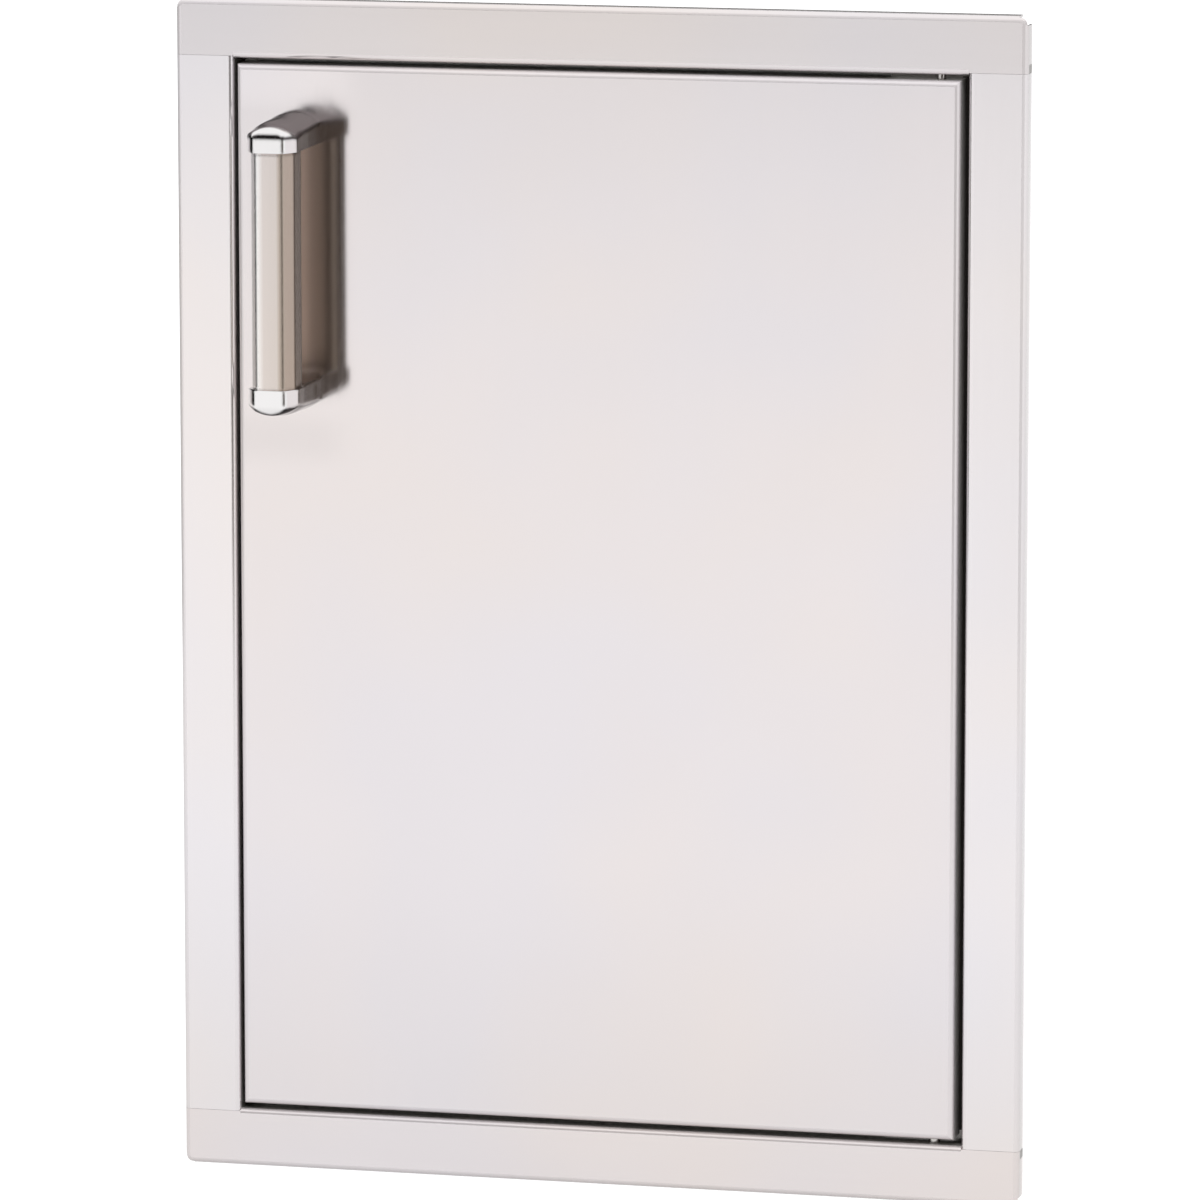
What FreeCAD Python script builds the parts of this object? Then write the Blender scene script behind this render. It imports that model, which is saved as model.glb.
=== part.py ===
import FreeCAD, Part
import math
import os

# A flush access door for a barbecue island: a folded stainless frame that drops into a cut-out
# in the island's wall, and a double-skin door that swings on two pivot pins at its right edge.
# X runs to the right, Y runs into the island and Z runs up, all in millimetres.
# The origin is the centre of the wall's cut-out, on the face of the wall.

# Sheet metal
SHEET = 1.2
BEND = 3.0
SEAM = 0.12

# Frame
FRAME_W = 470.0
FRAME_H = 648.0
FACE_W = 32.0
STAND_OFF = 12.0
JAMB_DEPTH = 66.0
REAR_LIP = 10.0
CORNER_R = 4.5
CORNER_NOTCH = 5.0
SPLICE_W = 22.0
SPLICE_REACH = 18.0
SPLICE_T = 1.5
JAMB_SCREW_R = 2.75
JAMB_SCREW_Y = 36.0
JAMB_SCREW_FROM_END = 142.0

# Door
DOOR_GAP = 3.2
LATCH_GAP = 2.0
HINGE_GAP = 4.4
DOOR_T = 19.0
LINER_FIT = 0.1
LINER_FLANGE = 10.0
STIFFENER_T = 1.0
STIFFENER_BEND = 2.0
STIFFENER_TOP = 22.0
STIFFENER_FOOT = 12.0
STIFFENER_X = 70.0
STIFFENER_END_GAP = 40.0

# Stops, bumpers and magnet catches
STOP_GAP = 4.0
STOP_LEG = 12.0
STOP_BEND = 2.4
LATCH_STOP_W = 24.0
HINGE_STOP_GAP = 30.0
BUMPER_R = 3.5
BUMPER_EDGE_R = 1.0
BUMPER_STEM_R = 1.5
BUMPER_TIP_R = 1.1
BUMPER_BARB_R = 2.1
BUMPER_BARB_T = 1.6
BUMPER_IN_X = 4.5
BUMPER_IN_Z = 4.2
REST_GAP = 0.35
CATCH_FROM_END = 92.0
CATCH_IN = 15.0
CATCH_W = 16.0
CATCH_H = 44.0
CATCH_D = 12.0
CATCH_EDGE_R = 1.5
CATCH_EAR = 13.0
CATCH_EAR_T = 4.0
CATCH_EAR_R = 5.0
POLE_T = 1.6
POLE_H = 28.0
POLE_D = 10.0
MAGNET_T = 6.0
MAGNET_SET_BACK = 3.5
POCKET_FIT = 0.2
WINDOW_FIT = 0.8
CATCH_SCREW_R = 1.75
CATCH_SCREW_HEAD_R = 3.2
CATCH_SCREW_HEAD_T = 2.0
CATCH_SCREW_OUT = 30.0
CATCH_SCREW_TIP = 2.0
STRIKE_W = 13.0
STRIKE_H = 48.0
STRIKE_T = 1.5
STRIKE_CORNER_R = 3.0
RIVET_R = 1.6
RIVET_HEAD_R = 2.8
RIVET_HEAD_T = 1.0
RIVET_TAIL = 2.0
RIVET_TAIL_R = 2.5
RIVET_OUT = 19.5

# Pivots
PIVOT_IN = 12.0
PIVOT_DEPTH = 9.5
PIN_R = 2.5
PIN_FIT = 0.05
COLLAR_R = 3.2
LIFT_GAP = 0.3
JOURNAL = 12.0
PIN_HEAD_R = 5.5
PIN_HEAD_T = 1.5
PLATE_T = 2.5
PLATE_W = 34.0
PLATE_D = 20.0
PLATE_EDGE = 0.5
BUSH_R = 4.2
BUSH_FLANGE_R = 6.3
BUSH_FLANGE_T = 1.2
LOWER_BUSH_H = 14.0
HINGE_PLATE_W = 26.0
TIP_CHAMFER = 1.0
PIN_REACH = 3.5
PIN_TRAVEL = 8.0
BRACKET_T = 2.0
BRACKET_BEND = 3.2
BRACKET_D = 13.0
BRACKET_ARM = 22.0
BRACKET_H = 66.0
PIN_TAIL = 10.0
CLIP_T = 1.0
CLIP_R = 5.2
GROOVE_DEPTH = 0.5
SPRING_H = 37.0
SPRING_WIRE_R = 0.5
SPRING_MEAN_R = 4.0
SPRING_TURNS = 8.0
SPRING_WIRE_SIDES = 8
LEVER_ABOVE_CLIP = 10.0
LEVER_R = 1.5
KNOB_R = 3.5
KNOB_L = 8.0
KNOB_EDGE_R = 1.2
KNOB_GAP = 0.5
SLOT_FIT = 0.6

# Handle
HANDLE_IN = 32.4
HANDLE_DOWN = 106.5
GRIP_L = 128.9
HANDLE_REACH = 55.0
HANDLE_W = 28.0
FLAT_W = 17.2
FACET_D = 9.0
CAP_FLAT_H = 9.0
CAP_CROWN_OVER = 2.4
CAP_FLARE = 5.6
CAP_ARCH_R = 20.0
CAP_BEVEL_RUN = 3.0
CAP_BEVEL_RISE = 4.8
CAP_EDGE_R = 1.2
CROWN_STEPS = 6
GRIP_INSET = 2.0
GRIP_D = 27.0
GRIP_WALL = 1.5
GRIP_EDGE_R = 1.2
GRIP_SIDE_R = 3.0
GRIP_BACK_R = 4.0
SPIGOT_L = 10.0
SPIGOT_FIT = 0.1
HANDLE_SCREW_R = 3.0
SCREW_HOLE_FIT = 0.3
HANDLE_SCREW_UP = 8.0
HANDLE_SCREW_BITE = 15.0
HANDLE_SCREW_HEAD_R = 5.5
HANDLE_SCREW_HEAD_T = 3.6
WASHER_R = 7.0
WASHER_T = 1.2
BACKING_T = 3.0
BACKING_W = 26.0
BACKING_END = 12.0
ACCESS_R = 8.0
PLUG_R = 9.6
PLUG_T = 1.4
PLUG_WALL = 1.5
PLUG_SKIRT = 4.0
PLUG_FIT = 0.1

# Shares: how much of a head's height is rounded, and of a screw's radius is its point
HEAD_ROUND = 0.6
SCREW_POINT = 0.3

# How far a cutter runs past what it cuts
PAST = 1.0
TINY = 1e-6

# Planes and places that follow from the sizes
FACE_Y = -STAND_OFF
REAR_Y = FACE_Y + JAMB_DEPTH
OPEN_X = FRAME_W / 2 - FACE_W
OPEN_Z = FRAME_H / 2 - FACE_W
JAMB_X = OPEN_X + SHEET
JAMB_Z = OPEN_Z + SHEET
SEAM_Z = JAMB_Z + SEAM
DOOR_Z = OPEN_Z - DOOR_GAP
LATCH_EDGE_X = LATCH_GAP - OPEN_X
HINGE_EDGE_X = OPEN_X - HINGE_GAP
DOOR_MID_X = (LATCH_EDGE_X + HINGE_EDGE_X) / 2
DOOR_HALF = (HINGE_EDGE_X - LATCH_EDGE_X) / 2
DOOR_BACK_Y = FACE_Y + DOOR_T
SKIN_BACK_Y = FACE_Y + SHEET
LINER_INNER_Y = DOOR_BACK_Y - SHEET
STOP_Y = DOOR_BACK_Y + STOP_GAP
CATCH_X = -OPEN_X + CATCH_IN
CATCH_Z = OPEN_Z - CATCH_FROM_END
JAMB_SCREW_Z = OPEN_Z - JAMB_SCREW_FROM_END
PIVOT_X = HINGE_EDGE_X - PIVOT_IN
PIVOT_Y = FACE_Y + PIVOT_DEPTH
HANDLE_X = LATCH_EDGE_X + HANDLE_IN
HANDLE_Y = FACE_Y - HANDLE_REACH
HANDLE_Z = DOOR_Z - HANDLE_DOWN
GRIP_TOP = HANDLE_Z + GRIP_L / 2
GRIP_FOOT = HANDLE_Z - GRIP_L / 2
INNER_X = HINGE_EDGE_X - 2 * SHEET - LINER_FIT
INNER_Z = DOOR_Z - 2 * SHEET - LINER_FIT
SPRING_Z = INNER_Z - BRACKET_H + BRACKET_T
CLIP_Z = SPRING_Z + SPRING_H
LEVER_Z = CLIP_Z + LEVER_ABOVE_CLIP


def vec(x, y, z):
    return FreeCAD.Vector(x, y, z)


def block(x0, x1, y0, y1, z0, z1):
    """A box between two opposite corners, given in any order."""
    low = vec(min(x0, x1), min(y0, y1), min(z0, z1))
    return Part.makeBox(abs(x1 - x0), abs(y1 - y0), abs(z1 - z0), low)


def rod(radius, start, end):
    """A round bar from one point to another."""
    run = end.sub(start)
    return Part.makeCylinder(radius, run.Length, start, run)


def tube(outer, inner, start, end):
    """A round bar with a bore."""
    return rod(outer, start, end).cut(rod(inner, start, end))


def upright(radius, z0, z1):
    """A round bar on the door's pivot axis."""
    return rod(radius, vec(PIVOT_X, PIVOT_Y, z0), vec(PIVOT_X, PIVOT_Y, z1))


def flip_x(shape):
    return shape.mirror(vec(0, 0, 0), vec(1, 0, 0))


def flip_z(shape):
    return shape.mirror(vec(0, 0, 0), vec(0, 0, 1))


def group(shapes):
    return Part.makeCompound(shapes)


def rounded_run(points, radii, place):
    """Straight runs through points, with an arc of the given radius at each turn."""
    edges = []
    pen = points[0]
    for before, corner, after, radius in zip(points, points[1:], points[2:], radii):
        back = math.dist(before, corner)
        ahead = math.dist(corner, after)
        u = ((before[0] - corner[0]) / back, (before[1] - corner[1]) / back)
        w = ((after[0] - corner[0]) / ahead, (after[1] - corner[1]) / ahead)
        half = math.acos(u[0] * w[0] + u[1] * w[1]) / 2
        reach = radius / math.tan(half)
        start = (corner[0] + u[0] * reach, corner[1] + u[1] * reach)
        end = (corner[0] + w[0] * reach, corner[1] + w[1] * reach)
        middle = (u[0] + w[0], u[1] + w[1])
        length = math.hypot(middle[0], middle[1])
        dip = radius / math.sin(half) - radius
        crown = (corner[0] + middle[0] / length * dip, corner[1] + middle[1] / length * dip)
        if math.dist(pen, start) > TINY:
            edges.append(Part.makeLine(place(pen[0], pen[1]), place(start[0], start[1])))
        arc = Part.Arc(place(start[0], start[1]), place(crown[0], crown[1]), place(end[0], end[1]))
        edges.append(arc.toShape())
        pen = end
    if math.dist(pen, points[-1]) > TINY:
        edges.append(Part.makeLine(place(pen[0], pen[1]), place(points[-1][0], points[-1][1])))
    return edges


def folded(points, place, run, sheet=SHEET, bend=BEND):
    """A folded sheet: its face follows points, its thickness lies on their left."""
    steps = [(b[0] - a[0], b[1] - a[1]) for a, b in zip(points, points[1:])]
    normals = [(-s[1] / math.hypot(*s), s[0] / math.hypot(*s)) for s in steps]
    far = [(points[0][0] + normals[0][0] * sheet, points[0][1] + normals[0][1] * sheet)]
    near_radii = []
    far_radii = []
    for corner, m, n in zip(points[1:], normals, normals[1:]):
        share = sheet / (1 + m[0] * n[0] + m[1] * n[1])
        far.append((corner[0] + (m[0] + n[0]) * share, corner[1] + (m[1] + n[1]) * share))
        turns_left = m[0] * n[1] - m[1] * n[0] > 0
        near_radii.append(bend if turns_left else bend - sheet)
        far_radii.append(bend - sheet if turns_left else bend)
    last = normals[-1]
    far.append((points[-1][0] + last[0] * sheet, points[-1][1] + last[1] * sheet))
    edges = rounded_run(points, near_radii, place)
    edges.append(Part.makeLine(place(*points[-1]), place(*far[-1])))
    edges += rounded_run(far[::-1], far_radii[::-1], place)
    edges.append(Part.makeLine(place(*far[0]), place(*points[0])))
    wire = Part.Wire(Part.__sortEdges__(edges))
    return Part.Face(wire).extrude(run)


def tray(half_x, half_z, depth, corner=0.0):
    """A sheet folded back along all four edges: its front face is at y = 0 and it opens to +Y."""
    def solid(inset):
        back = depth + (PAST if inset else 0.0)
        body = block(inset - half_x, half_x - inset, inset, back, inset - half_z, half_z - inset)
        if corner:
            upright_edges = [e for e in body.Edges if e.BoundBox.YLength > depth / 2]
            body = body.makeFillet(corner - inset, upright_edges)
        front = [e for e in body.Edges if e.BoundBox.YMax < inset + TINY]
        return body.makeFillet(BEND - inset, front)
    return solid(0.0).cut(solid(SHEET))


def moved(shape, x, y, z):
    copy = shape.copy()
    copy.translate(vec(x, y, z))
    return copy


# Frame


def frame_face():
    """The frame's face and outer returns in one piece, before the seams divide them."""
    half_x = FRAME_W / 2
    half_z = FRAME_H / 2
    face = moved(tray(half_x, half_z, STAND_OFF, CORNER_R), 0, FACE_Y, 0)
    for side in (-1, 1):
        for end in (-1, 1):
            notch = block(side * (half_x - CORNER_NOTCH), side * (half_x + PAST), SKIN_BACK_Y, PAST,
                          end * (half_z - CORNER_NOTCH), end * (half_z + PAST))
            face = face.cut(notch)
    return face


def throat(half_open):
    """The fold from the face into the jamb and on to the inward rear lip."""
    return [(FACE_Y, half_open + BEND), (FACE_Y, half_open),
            (REAR_Y - SHEET, half_open), (REAR_Y - SHEET, half_open - REAR_LIP)]


def plain_rail():
    """A rail has the frame's full width, and its jamb fits between the stiles."""
    half_x = FRAME_W / 2
    band = block(-half_x - PAST, half_x + PAST, FACE_Y - PAST, PAST, SEAM_Z, FRAME_H / 2 + PAST)
    rail = frame_face().common(band)
    rail = rail.cut(block(-OPEN_X, OPEN_X, FACE_Y - PAST, PAST, SEAM_Z - PAST, OPEN_Z + BEND))
    jamb = folded(throat(OPEN_Z), lambda y, z: vec(-OPEN_X, y, z), vec(2 * OPEN_X, 0, 0))
    for side in (-1, 1):
        corner = block(side * (OPEN_X - REAR_LIP), side * (OPEN_X + PAST), REAR_Y - BEND, REAR_Y + PAST,
                       OPEN_Z - REAR_LIP - PAST, JAMB_Z + PAST)
        jamb = jamb.cut(corner)
    return rail.fuse(jamb).removeSplitter()


def top_rail():
    return plain_rail().cut(upright(BUSH_R, OPEN_Z - PAST, JAMB_Z + PAST))


def bottom_rail():
    return flip_z(plain_rail()).cut(upright(COLLAR_R, -JAMB_Z - PAST, PAST - OPEN_Z))


def hinge_stile():
    """The stile stands between the rails' faces, and its jamb has the fixing holes."""
    band = block(OPEN_X + BEND, FRAME_W / 2 + PAST, FACE_Y - PAST, PAST, -JAMB_Z, JAMB_Z)
    stile = frame_face().common(band)
    jamb = folded(throat(OPEN_X), lambda y, x: vec(x, y, -JAMB_Z), vec(0, 0, 2 * JAMB_Z))
    stile = stile.fuse(jamb).removeSplitter()
    for z in (-JAMB_SCREW_Z, JAMB_SCREW_Z):
        hole = rod(JAMB_SCREW_R, vec(OPEN_X - PAST, JAMB_SCREW_Y, z), vec(JAMB_X + PAST, JAMB_SCREW_Y, z))
        stile = stile.cut(hole)
    return stile


def splice_plates():
    """A plate behind each seam joins a rail's face to a stile's."""
    middle = (OPEN_X + BEND + FRAME_W / 2 - SHEET) / 2
    plates = []
    for side in (-1, 1):
        for end in (-1, 1):
            plates.append(block(side * (middle - SPLICE_W / 2), side * (middle + SPLICE_W / 2),
                                SKIN_BACK_Y, SKIN_BACK_Y + SPLICE_T,
                                end * (SEAM_Z - SPLICE_REACH), end * (SEAM_Z + SPLICE_REACH)))
    return group(plates)


# Stops and catches


def latch_stop():
    """The angle behind the latch edge has windows for the catches and holes for the bumpers."""
    path = [(-OPEN_X, STOP_Y + STOP_LEG), (-OPEN_X, STOP_Y), (LATCH_STOP_W - OPEN_X, STOP_Y)]
    strip = folded(path, lambda x, y: vec(x, y, -OPEN_Z), vec(0, 0, 2 * OPEN_Z), bend=STOP_BEND)
    window_x = MAGNET_T / 2 + POLE_T + WINDOW_FIT
    window_z = POLE_H / 2 + WINDOW_FIT
    for end in (-1, 1):
        z = end * CATCH_Z
        strip = strip.cut(block(CATCH_X - window_x, CATCH_X + window_x, STOP_Y - PAST,
                                STOP_Y + SHEET + PAST, z - window_z, z + window_z))
        for out in (-1, 1):
            strip = strip.cut(catch_screw_hole(z + out * CATCH_SCREW_OUT))
        strip = strip.cut(rod(BUMPER_STEM_R, vec(bumper_x(), STOP_Y - PAST, end * bumper_z()),
                              vec(bumper_x(), STOP_Y + STOP_LEG, end * bumper_z())))
    return strip


def catch_screw_hole(z):
    return rod(CATCH_SCREW_R, vec(CATCH_X, STOP_Y - PAST, z), vec(CATCH_X, STOP_Y + STOP_LEG, z))


def bumper_x():
    return BUMPER_IN_X - OPEN_X


def bumper_z():
    return OPEN_Z - BUMPER_IN_Z


def top_stop():
    """The angle behind the top edge stops short of the pivot, where the door's corner turns."""
    x0 = LATCH_STOP_W - OPEN_X
    x1 = PIVOT_X - HINGE_STOP_GAP
    path = [(STOP_Y + STOP_LEG, OPEN_Z), (STOP_Y, OPEN_Z), (STOP_Y, OPEN_Z - STOP_LEG)]
    return folded(path, lambda y, z: vec(x0, y, z), vec(x1 - x0, 0, 0), bend=STOP_BEND)


def bumpers():
    """Nylon buttons, snapped into the latch stop, that the closed door all but touches."""
    buttons = []
    behind = STOP_Y + SHEET
    for end in (-1, 1):
        def at(y):
            return vec(bumper_x(), y, end * bumper_z())
        head = rod(BUMPER_R, at(DOOR_BACK_Y + REST_GAP), at(STOP_Y))
        rim = [e for e in head.Edges if e.BoundBox.YMax < DOOR_BACK_Y + REST_GAP + TINY]
        head = head.makeFillet(BUMPER_EDGE_R, rim)
        stem = rod(BUMPER_STEM_R, at(STOP_Y), at(behind + BUMPER_BARB_T))
        barb = Part.makeCone(BUMPER_BARB_R, BUMPER_TIP_R, BUMPER_BARB_T,
                             at(behind), vec(0, 1, 0))
        buttons.append(head.fuse([stem, barb]).removeSplitter())
    return group(buttons)


def each_catch(make):
    return group([piece for z in (-CATCH_Z, CATCH_Z) for piece in make(z)])


def catch_housing(z):
    """A moulded housing with two screw ears and a pocket for the magnet and its poles."""
    y0 = STOP_Y + SHEET
    body = block(CATCH_X - CATCH_W / 2, CATCH_X + CATCH_W / 2, y0, y0 + CATCH_D,
                 z - CATCH_H / 2, z + CATCH_H / 2)
    back = [e for e in body.Edges if e.BoundBox.YMin > y0 + CATCH_D - TINY]
    body = body.makeFillet(CATCH_EDGE_R, back)
    reach = CATCH_H / 2 + CATCH_EAR
    ears = block(CATCH_X - CATCH_W / 2, CATCH_X + CATCH_W / 2, y0, y0 + CATCH_EAR_T,
                 z - reach, z + reach)
    ends = [e for e in ears.Edges if e.BoundBox.YLength > CATCH_EAR_T / 2]
    body = body.fuse(ears.makeFillet(CATCH_EAR_R, ends)).removeSplitter()
    half = MAGNET_T / 2 + POLE_T + POCKET_FIT
    deep = DOOR_BACK_Y + STRIKE_T + REST_GAP + POLE_D + POCKET_FIT
    body = body.cut(block(CATCH_X - half, CATCH_X + half, y0 - PAST, deep,
                          z - POLE_H / 2 - POCKET_FIT, z + POLE_H / 2 + POCKET_FIT))
    for out in (-1, 1):
        body = body.cut(catch_screw_hole(z + out * CATCH_SCREW_OUT))
    return [body]


def catch_poles(z):
    """Two steel plates carry the magnet's pull through the stop to the strike plate."""
    y0 = DOOR_BACK_Y + STRIKE_T + REST_GAP
    plates = []
    for side in (-1, 1):
        x0 = CATCH_X + side * MAGNET_T / 2
        plates.append(block(x0, x0 + side * POLE_T, y0, y0 + POLE_D, z - POLE_H / 2, z + POLE_H / 2))
    return plates


def catch_magnet(z):
    y0 = DOOR_BACK_Y + STRIKE_T + REST_GAP
    return [block(CATCH_X - MAGNET_T / 2, CATCH_X + MAGNET_T / 2, y0 + MAGNET_SET_BACK, y0 + POLE_D,
                  z - POLE_H / 2, z + POLE_H / 2)]


def pan_screw(radius, head_radius, head_t, length):
    """A round-headed screw along +Y, with the underside of its head at the origin."""
    head = rod(head_radius, vec(0, -head_t, 0), vec(0, 0, 0))
    rim = [e for e in head.Edges if e.BoundBox.YMax < TINY - head_t]
    head = head.makeFillet(head_t * HEAD_ROUND, rim)
    shank = rod(radius, vec(0, 0, 0), vec(0, length, 0))
    tip = [e for e in shank.Edges if e.BoundBox.YMin > length - TINY]
    shank = shank.makeChamfer(radius * SCREW_POINT, tip)
    return head.fuse(shank).removeSplitter()


def catch_screws(z):
    screw = pan_screw(CATCH_SCREW_R, CATCH_SCREW_HEAD_R, CATCH_SCREW_HEAD_T,
                      SHEET + CATCH_EAR_T + CATCH_SCREW_TIP)
    return [moved(screw, CATCH_X, STOP_Y, z + out * CATCH_SCREW_OUT) for out in (-1, 1)]


def strike_plate(z):
    y0 = DOOR_BACK_Y
    plate = block(CATCH_X - STRIKE_W / 2, CATCH_X + STRIKE_W / 2, y0, y0 + STRIKE_T,
                  z - STRIKE_H / 2, z + STRIKE_H / 2)
    ends = [e for e in plate.Edges if e.BoundBox.YLength > STRIKE_T / 2]
    plate = plate.makeFillet(STRIKE_CORNER_R, ends)
    for out in (-1, 1):
        plate = plate.cut(rivet_hole(z + out * RIVET_OUT))
    return [plate]


def rivet_hole(z):
    return rod(RIVET_R, vec(CATCH_X, LINER_INNER_Y - PAST, z), vec(CATCH_X, STOP_Y, z))


def strike_rivets(z):
    rivets = []
    outer = DOOR_BACK_Y + STRIKE_T
    for out in (-1, 1):
        def at(y):
            return vec(CATCH_X, y, z + out * RIVET_OUT)
        head = rod(RIVET_HEAD_R, at(outer), at(outer + RIVET_HEAD_T))
        rim = [e for e in head.Edges if e.BoundBox.YMin > outer + RIVET_HEAD_T - TINY]
        head = head.makeFillet(RIVET_HEAD_T * HEAD_ROUND, rim)
        shank = rod(RIVET_R, at(LINER_INNER_Y - RIVET_TAIL), at(outer))
        tail = rod(RIVET_TAIL_R, at(LINER_INNER_Y - RIVET_TAIL), at(LINER_INNER_Y))
        rivets.append(head.fuse([shank, tail]).removeSplitter())
    return rivets


# Door


def screw_places():
    """Heights of the two handle screws, each in the middle of its post."""
    return (GRIP_FOOT - HANDLE_SCREW_UP, GRIP_TOP + HANDLE_SCREW_UP)


def handle_screw_hole(z, y0, y1, radius=HANDLE_SCREW_R + SCREW_HOLE_FIT):
    return rod(radius, vec(HANDLE_X, y0, z), vec(HANDLE_X, y1, z))


def outer_skin():
    """The front skin: one sheet folded back on all four sides, with its pivot holes."""
    skin = moved(tray(DOOR_HALF, DOOR_Z, DOOR_T), DOOR_MID_X, FACE_Y, 0)
    for z in screw_places():
        skin = skin.cut(handle_screw_hole(z, FACE_Y - PAST, SKIN_BACK_Y + PAST))
    skin = skin.cut(upright(BUSH_R, DOOR_Z - SHEET - PAST, DOOR_Z + PAST))
    return skin.cut(upright(BUSH_R, -DOOR_Z - PAST, PAST + SHEET - DOOR_Z))


def liner():
    """The back skin, a shallower tray set inside the returns of the front skin."""
    inset = SHEET + LINER_FIT
    pan = tray(DOOR_HALF - inset, DOOR_Z - inset, LINER_FLANGE)
    pan = pan.mirror(vec(0, 0, 0), vec(0, 1, 0))
    pan = moved(pan, DOOR_MID_X, DOOR_BACK_Y, 0)
    for z in screw_places():
        pan = pan.cut(handle_screw_hole(z, LINER_INNER_Y - PAST, DOOR_BACK_Y + PAST, ACCESS_R))
    for z in (-CATCH_Z, CATCH_Z):
        for out in (-1, 1):
            pan = pan.cut(rivet_hole(z + out * RIVET_OUT))
    half = LEVER_R + SLOT_FIT
    low = LEVER_Z - PIN_TRAVEL
    slot = block(PIVOT_X - half, PIVOT_X + half, LINER_INNER_Y - PAST, DOOR_BACK_Y + PAST, low, LEVER_Z)
    for z in (low, LEVER_Z):
        slot = slot.fuse(rod(half, vec(PIVOT_X, LINER_INNER_Y - PAST, z),
                             vec(PIVOT_X, DOOR_BACK_Y + PAST, z)))
    pan = pan.cut(slot)
    pan = pan.cut(upright(BUSH_R, DOOR_Z - LINER_FLANGE, DOOR_Z))
    return pan.cut(upright(BUSH_R, -DOOR_Z, LINER_FLANGE - DOOR_Z))


def stiffeners():
    """Two hat channels stand between the skins and keep them from drumming."""
    foot_y = SKIN_BACK_Y
    top_y = LINER_INNER_Y
    half = STIFFENER_TOP / 2
    out = half + STIFFENER_FOOT
    path = [(-out, foot_y), (-half, foot_y), (-half, top_y - STIFFENER_T),
            (half, top_y - STIFFENER_T), (half, foot_y), (out, foot_y)]
    reach = DOOR_Z - STIFFENER_END_GAP
    channels = []
    for x in (-STIFFENER_X, STIFFENER_X):
        channels.append(folded(path, lambda u, y: vec(x + u, y, -reach), vec(0, 0, 2 * reach),
                               sheet=STIFFENER_T, bend=STIFFENER_BEND))
    return group(channels)


# Handle


def handle_plan(front, side, back, z):
    """The handle's section seen from above: a flat front, two facets and straight sides.

    The front and the facets are drawn in by one amount and the sides by another.
    """
    run = (HANDLE_W - FLAT_W) / 2
    length = math.hypot(run, FACET_D)
    cx = run / length
    cy = FACET_D / length
    ax = FLAT_W / 2 - front * cy
    ay = front * cx
    half = HANDLE_W / 2 - side
    right = [(ax + (front - ay) / cy * cx, front), (half, ay + (half - ax) / cx * cy), (half, back)]
    left = [(-x, y) for x, y in right[::-1]]
    points = [vec(HANDLE_X + x, HANDLE_Y + y, z) for x, y in right + left]
    return Part.makePolygon(points + points[:1])


def cap_crown():
    """A solid whose top is an arch that climbs from the front to the door in a quarter ellipse."""
    half = HANDLE_W / 2 + PAST
    drop = CAP_ARCH_R - math.sqrt(CAP_ARCH_R ** 2 - half ** 2)
    sections = []
    for step in range(CROWN_STEPS + 1):
        turn = math.pi / 2 * step / CROWN_STEPS
        y = HANDLE_Y + HANDLE_REACH * (1 - math.cos(turn))
        crown = GRIP_TOP + CAP_FLAT_H + CAP_CROWN_OVER + CAP_FLARE * math.sin(turn)
        left = vec(HANDLE_X - half, y, crown - drop)
        right = vec(HANDLE_X + half, y, crown - drop)
        low_left = vec(HANDLE_X - half, y, GRIP_TOP - PAST)
        low_right = vec(HANDLE_X + half, y, GRIP_TOP - PAST)
        arch = Part.Arc(left, vec(HANDLE_X, y, crown), right).toShape()
        sections.append(Part.Wire([arch, Part.makeLine(right, low_right),
                                   Part.makeLine(low_right, low_left),
                                   Part.makeLine(low_left, left)]))
    return Part.makeLoft(sections, True, False)


def handle_end():
    """The upper end: a cast post with a bevelled front, an arched crown and a spigot below."""
    bevel_h = CAP_CROWN_OVER + CAP_FLARE + PAST
    bevel_in = bevel_h * CAP_BEVEL_RUN / CAP_BEVEL_RISE
    roof_z = GRIP_TOP + CAP_FLAT_H
    post = Part.Face(handle_plan(0, 0, HANDLE_REACH, GRIP_TOP)).extrude(vec(0, 0, CAP_FLAT_H))
    roof = Part.makeLoft([handle_plan(0, 0, HANDLE_REACH, roof_z),
                          handle_plan(bevel_in, 0, HANDLE_REACH, roof_z + bevel_h)], True, True)
    end = post.fuse(roof).common(cap_crown()).removeSplitter()
    sharp = [e for e in end.Edges
             if e.BoundBox.ZMax > GRIP_TOP + TINY and e.BoundBox.YMin < FACE_Y - TINY]
    end = end.makeFillet(CAP_EDGE_R, sharp)
    inset = GRIP_INSET + GRIP_WALL + SPIGOT_FIT
    outline = handle_plan(inset, inset, GRIP_D - GRIP_WALL - SPIGOT_FIT, GRIP_TOP)
    spigot = Part.Face(outline).extrude(vec(0, 0, -SPIGOT_L))
    back = [e for e in spigot.Edges if e.BoundBox.ZLength > SPIGOT_L / 2
            and e.BoundBox.YMin > HANDLE_Y + GRIP_D / 2 + GRIP_WALL]
    spigot = spigot.makeFillet(GRIP_BACK_R - GRIP_WALL, back)
    end = end.fuse(spigot).removeSplitter()
    bite = FACE_Y - HANDLE_SCREW_BITE - PAST
    return end.cut(handle_screw_hole(GRIP_TOP + HANDLE_SCREW_UP, bite, FACE_Y, HANDLE_SCREW_R))


def lower_handle_end():
    """The lower end is the upper one turned over about the middle of the grip."""
    return moved(flip_z(handle_end()), 0, 0, 2 * HANDLE_Z)


def upright_edges(solid, low, high):
    """A grip's upright edges whose depth behind the handle's front lies between two values."""
    return [e for e in solid.Edges if e.BoundBox.ZLength > GRIP_L / 2
            and low - TINY < e.BoundBox.YMin - HANDLE_Y < high + TINY]


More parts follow.
